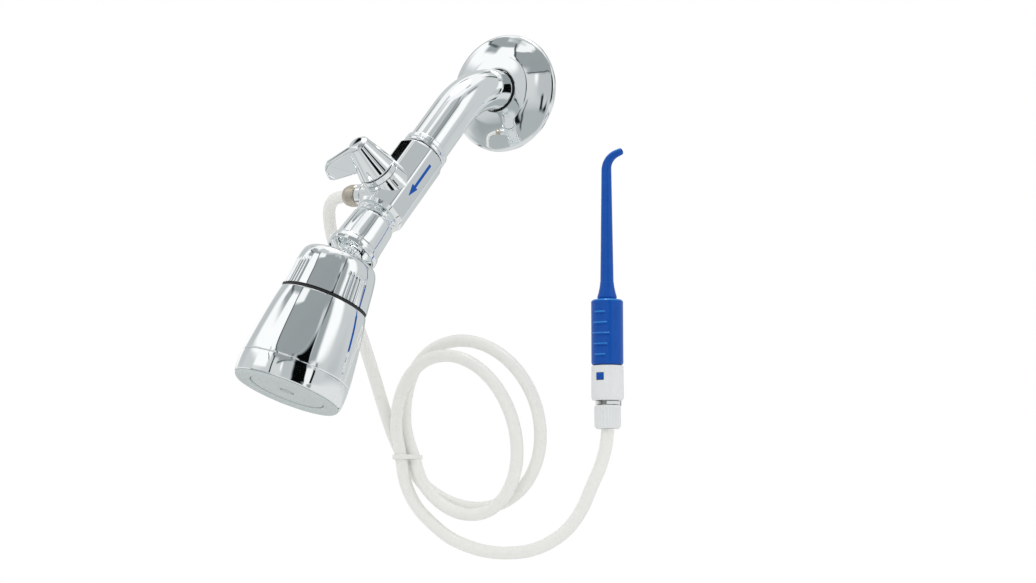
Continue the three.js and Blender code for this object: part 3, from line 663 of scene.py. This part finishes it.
NUT_START = 51.6
NUT_END = 72.5
BALL_RADIUS = 9
ball = [
    (BALL_RADIUS * math.cos(a * DEG), BALL_STATION + BALL_RADIUS * math.sin(a * DEG))
    for a in range(-56, 66, 4)
]
nut = turned([
    (9.75, NUT_START), (10.7, NUT_START), (10.95, NUT_START + 0.25),
    *curve((11.1, NUT_START + 0.7), (11.35, 56), (11.65, 61), (11.95, 66), (12.1, 67.6)),
    (12.75, 68.4, 0.5), (13, 70.4, 3), (12.85, NUT_END, 0.5), (11.9, NUT_END, 0.3), (11.3, 71.9, 0.4),
    (5.8, 71.5, 0.8), (5.05, 73, 0.8), (5.05, 82, 0.6), *ball, (3.6, 97.2), (3.6, 61.2), (9.75, 61.2),
], 128)
settle("swivel_nut_skin", nut, VALVE, "swivel", chrome, ["swivel_nut"])

# ---------------------------------------------------------------- shower head

FLUTE_GROUPS = [13, 103, 193, 283]
FLUTE_STEP = 5.6
FLUTES = 6
FLUTE_DEPTH = 0.5
FLUTE_HALF_WIDTH = 2.1
FLUTE_START = -2.4


def fluted(radius, z, angle):
    """Shallow flutes low on the cap's side, in four groups."""
    if radius < 17.5 or z < FLUTE_START:
        return radius
    depth = 0
    for group in FLUTE_GROUPS:
        for k in range(FLUTES):
            off = (angle / DEG - group - FLUTE_STEP * (k - (FLUTES - 1) / 2) + 180) % 360 - 180
            depth = max(depth, 1 - abs(off) / FLUTE_HALF_WIDTH)
    fade = min(1, (z - FLUTE_START) / 1.4)
    return radius - FLUTE_DEPTH * ease(depth) * fade


cap_outline = split(rounded([
    (8.2, -4.5, 0.2), (9.4, -6.5), (12.4, -10.6, 0.8),
    *curve(
        (13.6, -11.3), (15.2, -11.3), (16.9, -10.6), (18.3, -9), (19.3, -6.2), (20.1, -1.5), (20.8, 4.5),
        (21.5, 10.6),
    ),
    (21.55, 11.1), (19.7, 11.1), (18.6, 2), (17.6, -4.5), (16, -8.4), (14.4, -8.9), (11.5, -5.6), (11.3, 0),
    (11.3, 13.6), (9.4, 13.6), (9.4, 0), (9, -2.8),
], 6), 1.6)
cap = facing_out(spin(cap_outline, 360, fluted))
settle("head_cap_skin", cap, HEAD, "head_mount", chrome, ["head_cap"])

seam = turned([(19.8, 11.25), (21.2, 11.25, 0.2), (21.2, 12.55, 0.2), (19.8, 12.55)], 128)
settle("seam_ring_skin", seam, HEAD, "head_mount", rubber, ["seam_ring"])

shell = turned([
    (21.5, 12.7), (21.75, 12.85),
    *curve((21.85, 13.1), (22.5, 16), (23.45, 21), (24.95, 31), (26.15, 40.5), (26.6, 45), (26.75, 47.4)),
    (26.62, 47.95), (25, 48.1), (24.4, 40), (23.1, 30), (21.6, 20), (20.2, 12.7),
], 192)
settle("head_shell_skin", shell, HEAD, "spray_head", chrome, ["head_shell"])

band = turned([
    (26.62, 48), *curve((26.78, 48.15), (26.88, 50), (26.86, 53), (26.72, 55.5), (26.42, 57.8)), (25.9, 58.3),
    (24.6, 58.3), (24.6, 48.3),
], 192)
settle("head_band_skin", band, HEAD, "spray_head", chrome, ["head_band"])

ring = turned([
    (18.6, 54), (24.2, 54), (24.2, 58.35), (25.9, 58.4, 0.1), (25.85, 59.1, 0.5), (24.9, 60, 0.5),
    (23.5, 59.9, 0.5), (22.6, 59.3, 0.5), (21, 59.1, 0.5), (18.9, 59.2, 0.3), (18.55, 58.9, 0.2),
], 160)
settle("spray_ring_skin", ring, HEAD, "spray_head", frost, ["spray_ring"])

disc = turned([
    (2.2, 55), (17.9, 55), (18.3, 58.2, 0.2), (17.9, 58.7, 0.4), (16, 58.6, 1), (14.6, 58.2, 1),
    (5, 58.1, 0.6), (4.2, 58.6, 0.3), (3.5, 58.5, 0.2), (3.4, 56.6), (2.2, 56.6),
], 128)
settle("spray_disc_skin", disc, HEAD, "head_mount", frost, ["spray_disc"])

# ---------------------------------------------------------------- hose tie


def hull(points):
    """The convex outline round flat points, anticlockwise."""
    ordered = sorted(points)

    def half(run):
        kept = []
        for p in run:
            while len(kept) > 1 and (
                (kept[-1][0] - kept[-2][0]) * (p[1] - kept[-2][1])
                - (kept[-1][1] - kept[-2][1]) * (p[0] - kept[-2][0])
            ) <= 0:
                kept.pop()
            kept.append(p)
        return kept[:-1]

    return half(ordered) + half(ordered[::-1])


def tie_outline(gap):
    """The outline round the hose's three passes, at a gap from its surface."""
    reach = HOSE_RADIUS + gap
    return hull([
        (x + reach * math.cos(a * DEG), y + reach * math.sin(a * DEG))
        for x, y in TIE_PASSES for a in range(0, 360, 10)
    ])


def band_of(outer, inner, low, high):
    """A flat band between two convex outlines, with its outer edges taken off."""
    made = bmesh.new()
    count = 96
    centre = Vector((sum(x for x, _ in TIE_PASSES) / 3, sum(y for _, y in TIE_PASSES) / 3))

    def at(outline, angle):
        ray = Vector((math.cos(angle), math.sin(angle)))
        for a, b in zip(outline, outline[1:] + outline[:1]):
            a, b = Vector(a) - centre, Vector(b) - centre
            side = b - a
            cross = ray.x * side.y - ray.y * side.x
            if abs(cross) < 1e-9:
                continue
            t = (a.x * side.y - a.y * side.x) / cross
            u = (a.x * ray.y - a.y * ray.x) / cross
            if t > 0 and -1e-6 <= u <= 1 + 1e-6:
                return centre + ray * t
        return centre

    rows = []
    soft = 0.35
    for i in range(count):
        angle = 2 * math.pi * i / count
        far, near = at(outer, angle), at(inner, angle)
        step = (far - near).normalized() * soft
        section = [
            (near, low), (far - step, low), (far, low + soft),
            (far, high - soft), (far - step, high), (near, high),
        ]
        rows.append([made.verts.new((p.x, p.y, z)) for p, z in section])
    for a, b in zip(rows, rows[1:] + rows[:1]):
        bridge(made, a, b)
    return facing_out(made)


tie = band_of(tie_outline(1.3), tie_outline(0.25), TIE_Z - 1.2, TIE_Z + 1.2)
tie_piece = settle("hose_tie_skin", tie, WALL, "base", vinyl, ["hose_tie"])

# ---------------------------------------------------------------- wand

NUT_TOP = -166
NUT_BOTTOM = -177.6
RIBS = 24


def ribbed(radius, z, angle):
    if radius < 5.9:
        return radius
    wave = 0.5 + 0.5 * math.cos(RIBS * angle)
    fade = min(1, max(0, min((NUT_TOP - 0.5 - z) / 1.1, z - NUT_BOTTOM - 1)))
    return radius - 0.42 * (1 - wave) ** 1.5 * fade


hose_nut_outline = split(rounded([
    (5.2, NUT_TOP), (6.1, NUT_TOP, 0.3), (6.6, NUT_TOP - 0.8, 0.5), (6.55, NUT_BOTTOM + 1.4, 1),
    (5.6, NUT_BOTTOM, 0.7), (3.5, NUT_BOTTOM, 0.3), (3.5, NUT_BOTTOM + 1.6), (4.4, NUT_BOTTOM + 1.6),
    (4.4, -169.4), (5.2, -169.4),
], 4), 1.2)
hose_nut = facing_out(spin(hose_nut_outline, 384, ribbed))
settle("wand_hose_nut_skin", hose_nut, HAND, "base", white, ["wand_hose_nut"], 60)

spigot_skin = turned([
    (1.2, -176.8), (2.1, -176.8), (2.1, -169), (4.9, -169), (4.9, -166.4, 0.2), (4.2, -166.3),
    (3.4, -165.7, 0.4), (3.4, -163.8, 0.4), (5, -163.2), (5, -159.4), (1.2, -159.4),
], 64)
settle("wand_spigot_skin", spigot_skin, HAND, "base", grey, ["wand_spigot"])

base = turned([
    (7, -146.5), (7.8, -146.5, 0.2), (7.95, -147, 0.3), (8, -156), (8.05, -162, 2), (7.6, -163.4, 1),
    (6.8, -163.7, 0.4), (5.3, -163.7, 0.2), (5.3, -159), (7, -159),
], 128)
window = slab([(-2.1, -12), (2.1, -12), (2.1, -4), (-2.1, -4)], -153.9, -150.1)


def cut(mesh, cutter):
    """Takes one mesh out of another."""
    piece = bpy.data.objects.new("cut", mesh)
    knife = bpy.data.objects.new("knife", cutter)
    for made in (piece, knife):
        scene.collection.objects.link(made)
    boolean = piece.modifiers.new("cut", "BOOLEAN")
    boolean.object = knife
    boolean.operation = "DIFFERENCE"
    boolean.solver = "EXACT"
    ready = piece.evaluated_get(bpy.context.evaluated_depsgraph_get())
    result = bpy.data.meshes.new_from_object(ready)
    for made in (piece, knife):
        bpy.data.objects.remove(made)
    return result


settle("wand_base_skin", cut(base, window), HAND, "base", white, ["wand_base"])

BUTTON_Z = -152
face_outline = rounded([(-1.8, -1.6, 0.5), (1.8, -1.6, 0.5), (1.8, 1.6, 0.5), (-1.8, 1.6, 0.5)], 4)
button_face = slab(face_outline, 5.9, 8.4, 0.35, 3)
button_flange = slab([(-2.3, -2.1), (2.3, -2.1), (2.3, 2.1), (-2.3, 2.1)], 5.8, 6.3)
button = placed(joined(button_face, button_flange), turn("X", 90), Matrix.Translation((0, 0, BUTTON_Z)))
settle("release_button_skin", button, HAND, "button", blue, ["release_button"])

GRIP_TOP = -113.7
GRIP_BOTTOM = -146.1
GRIP_RIBS = [(-120.6, 24), (-125.9, 31), (-131.2, 39), (-136.5, 31), (-141.8, 24)]


def gripped(radius, z, angle):
    """Five short raised bars on the wand's front."""
    if radius < 7.5:
        return radius
    off = abs((angle / DEG + 90 + 180) % 360 - 180)
    for height, half in GRIP_RIBS:
        above = z - height
        if off < half and -0.6 < above < 1:
            across = ease((half - off) / 4)
            along = min(1, max(0, (1 - above) / 0.7), max(0, (above + 0.6) / 0.3))
            return radius + 0.6 * across * along
    return radius


grip_outline = rounded([
    (3.3, GRIP_TOP), (7.2, GRIP_TOP, 0.4), (7.95, GRIP_TOP - 0.8, 0.6), (7.95, GRIP_BOTTOM + 1, 0.6),
    (7.4, GRIP_BOTTOM, 0.4), (6.4, GRIP_BOTTOM), (6.4, GRIP_TOP - 3), (4.8, GRIP_TOP - 3),
    (4.8, GRIP_BOTTOM + 1), (3.3, GRIP_BOTTOM + 1),
], 4)
grip = facing_out(spin(split(grip_outline, 0.28), 180, gripped))
settle("tip_grip_skin", grip, HAND, "tip", blue, ["tip_grip"])

NOZZLE_TOP = -48.1
NOZZLE_BOTTOM = -157
NOZZLE_RADIUS = 2.5
TIP_RADIUS = 1.75
TIP_STEPS = 20
TIP_BEND = 8
TIP_SWEEP = 72 * DEG
TIP_REACH = 3


def nozzle_stations():
    """Centre, direction and radius along the nozzle, up its stem and round its bent tip into the jet hole."""
    up = Vector((0, 0, 1))
    straight = [
        (NOZZLE_BOTTOM, 3), (-155, 3), (-155, 2.1), (-153.4, 2.1), (-153.4, 3), (-113.4, 3), (-113.4, 4.5),
        (-112.6, 4.9), (-112, 4.85), (-110, 4.25), (-107.6, 3.75), (-105.6, 3.45), (-105.1, 3.5),
        (-104.8, 3.3), (-90, 3.08), (-70, 2.8), (NOZZLE_TOP, NOZZLE_RADIUS),
    ]
    made = [(Vector((0, 0, NOZZLE_BOTTOM)), up, 0.02)]
    made += [(Vector((0, 0, z)), up, r) for z, r in straight]
    length = TIP_BEND * TIP_SWEEP + TIP_REACH
    for i in range(1, TIP_STEPS + 1):
        s = length * i / TIP_STEPS
        angle = min(s / TIP_BEND, TIP_SWEEP)
        rest = max(0, s - TIP_BEND * TIP_SWEEP)
        along = Vector((math.sin(angle), 0, math.cos(angle)))
        centre = Vector((TIP_BEND * (1 - math.cos(angle)), 0, NOZZLE_TOP + TIP_BEND * math.sin(angle)))
        made.append((centre + along * rest, along, mix(NOZZLE_RADIUS, TIP_RADIUS, s / length)))
    end, along, _ = made[-1]
    made.append((end + along * 0.35, along, 1.5))
    made.append((end + along * 0.45, along, 1.1))
    made.append((end + along * 0.4, along, 0.8))
    made.append((end - along * 2.5, along, 0.75))
    return made


settle("nozzle_skin", sweep(nozzle_stations(), 40), HAND, "tip", blue, ["nozzle"])

CLIP_TOP = -164
CLIP_BOTTOM = -165.7
CLIP_OUTER = 5.95
CLIP_INNER = 3.75
clip_ring = [
    (CLIP_OUTER * math.cos(a * DEG), CLIP_OUTER * math.sin(a * DEG)) for a in range(-66, 247, 8)
] + [
    (CLIP_INNER * math.cos(a * DEG), CLIP_INNER * math.sin(a * DEG)) for a in range(244, -68, -8)
]
clip_plate = slab(rounded([(-2.3, 0, 0.6), (2.3, 0, 0.6), (2.3, 14, 0.6), (-2.3, 14, 0.6)]), 0, 1.4, 0.2, 2)
clip = joined(
    slab(clip_ring, CLIP_BOTTOM, CLIP_TOP, 0.2, 2),
    slab([(-2, 5), (2, 5), (2, 8.6), (-2, 8.6)], CLIP_BOTTOM, CLIP_TOP, 0.2, 2),
    placed(clip_plate, turn("X", 90), Matrix.Translation((0, 9.4, CLIP_BOTTOM))),
)
settle("wand_clip_skin", clip, HAND, "base", white, ["wand_clip"])

# ---------------------------------------------------------------- CAD nodes that stay

FINISHES = {
    "chrome": chrome, "brass": brass, "steel": steel, "rubber": rubber, "white_plastic": white,
    "frosted_plastic": frost, "grey_plastic": grey, "blue_plastic": blue, "hose_vinyl": vinyl,
}
slot_of = {part["node"]: part["material_slot"] for part in frame["record"]["subparts"]}
for name, node in frame["nodes"].items():
    finish = FINISHES[slot_of[name]]
    node.data.materials.clear()
    node.data.materials.append(finish)
    node.data.shade_smooth()
    node.data.set_sharp_from_angle(angle=35 * DEG)

# ---------------------------------------------------------------- surroundings

world = bpy.data.worlds.new("studio")
scene.world = world
world.use_nodes = True
sky = Nodes(world.node_tree)
parts = sky.add("ShaderNodeSeparateXYZ")
sky.link(sky.add("ShaderNodeTexCoord").outputs["Generated"], parts.inputs[0])
turned_round = sky.math("ARCTAN2", parts.outputs[0], sky.math("MULTIPLY", parts.outputs[1], -1))
azimuth = sky.math("MULTIPLY", turned_round, 1 / DEG)
elevation = sky.math("MULTIPLY", sky.math("ARCSINE", parts.outputs[2]), 1 / DEG)


def step(source, low, high):
    """Goes smoothly from 0 at low to 1 at high."""
    node = sky.add("ShaderNodeMapRange", interpolation_type="SMOOTHSTEP")
    sky.link(source, node.inputs["Value"])
    node.inputs["From Min"].default_value = low
    node.inputs["From Max"].default_value = high
    return node.outputs[0]


def within(source, low, high, soft_low, soft_high):
    """1 between low and high, 0 outside, with soft ends."""
    over = step(source, low - soft_low, low + soft_low)
    under = sky.math("SUBTRACT", 1, step(source, high - soft_high, high + soft_high))
    return sky.math("MULTIPLY", over, under)


def brightness(shade):
    """The light of a card from its shade, where 255 is white and more is a lamp."""
    return 1.08 * (shade / 255) ** 2.2


def panel(under, a0, a1, e0, e1, shade, soft=(2, 2, 2, 2), lean=0.0, rise=0.0):
    """Lays a studio card over what is there: azimuth a0-a1 and elevation e0-e1 in degrees.

    soft is half the width of its four edges, lean shifts it in azimuth per degree above e0,
    rise shifts it in elevation per degree beyond a0.
    """
    a, e = azimuth, elevation
    if lean:
        a = sky.math("SUBTRACT", azimuth, sky.math("MULTIPLY", sky.math("SUBTRACT", elevation, e0), lean))
    if rise:
        e = sky.math("SUBTRACT", elevation, sky.math("MULTIPLY", sky.math("SUBTRACT", azimuth, a0), rise))
    inside = sky.math(
        "MULTIPLY", within(a, a0, a1, soft[0], soft[1]), within(e, e0, e1, soft[2], soft[3])
    )
    node = sky.add("ShaderNodeMix", data_type="FLOAT")
    sky.link(inside, node.inputs[0])
    sky.value(node, 2, under)
    node.inputs[3].default_value = brightness(shade)
    return node.outputs[0]


# The studio's cards, each laid over the ones before it. Azimuth 0 looks along -Y and grows towards +X.
CARDS = [
    # left, right, bottom, top, shade, softness of each edge, lean, rise
    (-190, 190, -95, -36, 214, (2, 2, 2, 8)),
    (-190, 190, -38, -9, 221, (2, 2, 4, 4)),
    (-190, 190, 57, 95, 246, (2, 2, 3, 2)),
    (-45, 12, 58, 80, 197, (6, 10, 3, 4)),
    (4, 60, 57, 62, 188, (6, 8, 3, 1)),
    (-20, 35, 70.6, 90, 244, (8, 8, 1, 4)),
    (-150, -122, 69, 73, 150, (4, 4, 1, 1)),
    (92, 110, 65.5, 69.5, 160, (4, 4, 1, 1)),
    (94, 114, 44, 49.5, 142, (3, 4, 1, 1)),
    (104, 128, -4, 5, 190, (6, 8, 3, 4)),
    (-148, -112, 8, 22, 250, (5, 4, 3, 3)),
    (-172, -150, 0, 12, 178, (5, 5, 2, 3)),
    (-103.5, -99.1, 45.4, 49.4, 16, (0.8, 0.5, 0.7, 0.7)),
    (-112, -88, 14, 40, 190, (6, 6, 5, 5)),
    (-88, -14, 31, 58, 250, (5, 3, 4, 3)),
    (-52, -18, 22, 42, 250, (4, 3, 3, 3)),
    (-72, 34, -44, -8, 174, (8, 6, 8, 6)),
    (-60, -24, -24, -4, 160, (6, 4, 5, 5)),
    (-72, -50, 43, 58, 158, (4, 3, 2, 2), 0, 0.12),
    (-5, 14, 2, 34, 208, (1, 3, 8, 2)),
    (14, 18.5, 16, 32, 250, (2, 1, 6, 2)),
    (18, 37, 0, 33, 186, (2, 6, 8, 3)),
    (-10, 77, 33, 57, 154, (2, 1, 3, 2)),
    (-12, 66, 40, 57, 154, (1, 3, 4, 2), -1, 0),
    (42, 68, 50.5, 58, 183, (3, 3, 1.5, 1)),
    (57, 63, 45, 51, 204, (3, 3, 3, 2)),
    (5, 62, 27, 42, 152, (4, 1, 3, 3)),
    (-22, 5, 50.5, 58, 246, (4, 4, 0.8, 1)),
    (36, 62.5, -7, 27, 14, (3, 1, 3, 1.6), 0.12, 0),
    (46, 63.5, -33, -25.5, 14, (3, 1.5, 2, 0.8)),
    (62.5, 75, -14, 13, 242, (0.8, 0.8, 4, 4), 0.1, 0),
    (72.8, 77.4, -8, 11, 18, (0.8, 0.8, 1.5, 3), 0.35, 0),
    (65, 79, 14, 33, 158, (1, 4, 3, 2), 0.3, 0),
    (79, 105, 11, 41, 251, (4, 5, 4, 3), 0.2, 0),
    (67, 71, 27, 46, 84, (1.4, 1.4, 2, 5), 0.85, 0),
    (-9.5, -6.6, 8, 36, 22, (0.8, 0.8, 4, 1), 0.1, 0),
    (-9.5, -6.6, 2, 8, 60, (0.8, 0.8, 2, 4)),
    (-7, -5, -30, -1, 70, (0.8, 0.8, 3, 3), 0.42, 0),
    (4, 34, 26.4, 28, 100, (2, 3, 0.6, 0.6), 0, 0.06),
    (-80, -24, 49.2, 55.5, 158, (3, 3, 1, 2), 0, 0.1),
    (-82, -56, 47.2, 49.2, 96, (3, 4, 0.6, 0.6), 0, 0.1),
    (-8.1, -4.9, 35, 58, 84, (1, 1, 2, 1), -0.95, 0),
    (-17.8, -15.4, 31, 39.5, 84, (0.8, 0.8, 2, 1), -1, 0),
    (-12, -3, -24, -3, 26, (2, 2, 2, 2), -0.2, 0),
    (18.5, 21.5, -13, 4, 26, (0.8, 0.8, 3, 3), 0.15, 0),
    (150, 156, 16, 60, 60, (2, 2, 5, 6)),
    (-172, -166, 14, 60, 70, (2, 2, 5, 6)),
    (96, 190, -30, -26, 110, (4, 3, 2, 2)),
    (-190, -70, -30, -26, 110, (3, 4, 2, 2)),
    (54.5, 60.5, -28, -20.5, 12, (0.8, 0.8, 1.5, 1)),
    (64, 78, -14.5, -9.5, 150, (1, 2, 1, 1)),
    (63, 84, -64, -46, 202, (3, 4, 4, 4)),
    (-190, 190, 79, 95, 560, (2, 2, 4, 2)),
]
level = brightness(200)
for card in CARDS:
    level = panel(level, *card)
tint = sky.add("ShaderNodeMix", data_type="RGBA", blend_type="MULTIPLY")
tint.inputs[0].default_value = 1
sky.link(level, tint.inputs[6])
cool = sky.add("ShaderNodeMix", data_type="RGBA")
sky.link(sky.math("MULTIPLY", level, 1.2, True), cool.inputs[0])
cool.inputs[6].default_value = (0.86, 1, 1.05, 1)
cool.inputs[7].default_value = (1, 1, 1, 1)
sky.link(cool.outputs[2], tint.inputs[7])

soft_sky = sky.add("ShaderNodeMapRange")
sky.link(elevation, soft_sky.inputs["Value"])
for socket, value in (("From Min", -80), ("From Max", 60), ("To Min", 0.62), ("To Max", 1.12)):
    soft_sky.inputs[socket].default_value = value

rays = sky.add("ShaderNodeLightPath")


def lit(colour):
    node = sky.add("ShaderNodeBackground")
    sky.value(node, "Color", colour)
    return node.outputs[0]


def either(factor, first, second):
    node = sky.add("ShaderNodeMixShader")
    sky.link(factor, node.inputs[0])
    sky.link(first, node.inputs[1])
    sky.link(second, node.inputs[2])
    return node.outputs[0]


around = either(rays.outputs["Is Glossy Ray"], lit(soft_sky.outputs[0]), lit(tint.outputs[2]))
world_out = sky.add("ShaderNodeOutputWorld")
sky.link(either(rays.outputs["Is Camera Ray"], around, lit((1, 1, 1, 1))), world_out.inputs["Surface"])

FLOOR_REACH = 12
FLOOR_HEIGHT = -1.9

floor_mesh = bmesh.new()
bmesh.ops.create_grid(floor_mesh, x_segments=1, y_segments=1, size=FLOOR_REACH)
floor_data = facing_out(floor_mesh)
floor_data.materials.append(material("floor", (0.8, 0.8, 0.8), (0.84, 0.84, 0.84), (0.8, 0.9), 0.0, 3, 0))
floor = bpy.data.objects.new("floor", floor_data)
floor.location = (0, 0, FLOOR_HEIGHT)
# In reflections the low cards stand in its place.
floor.visible_glossy = False
scene.collection.objects.link(floor)

scene.view_settings.view_transform = "Standard"
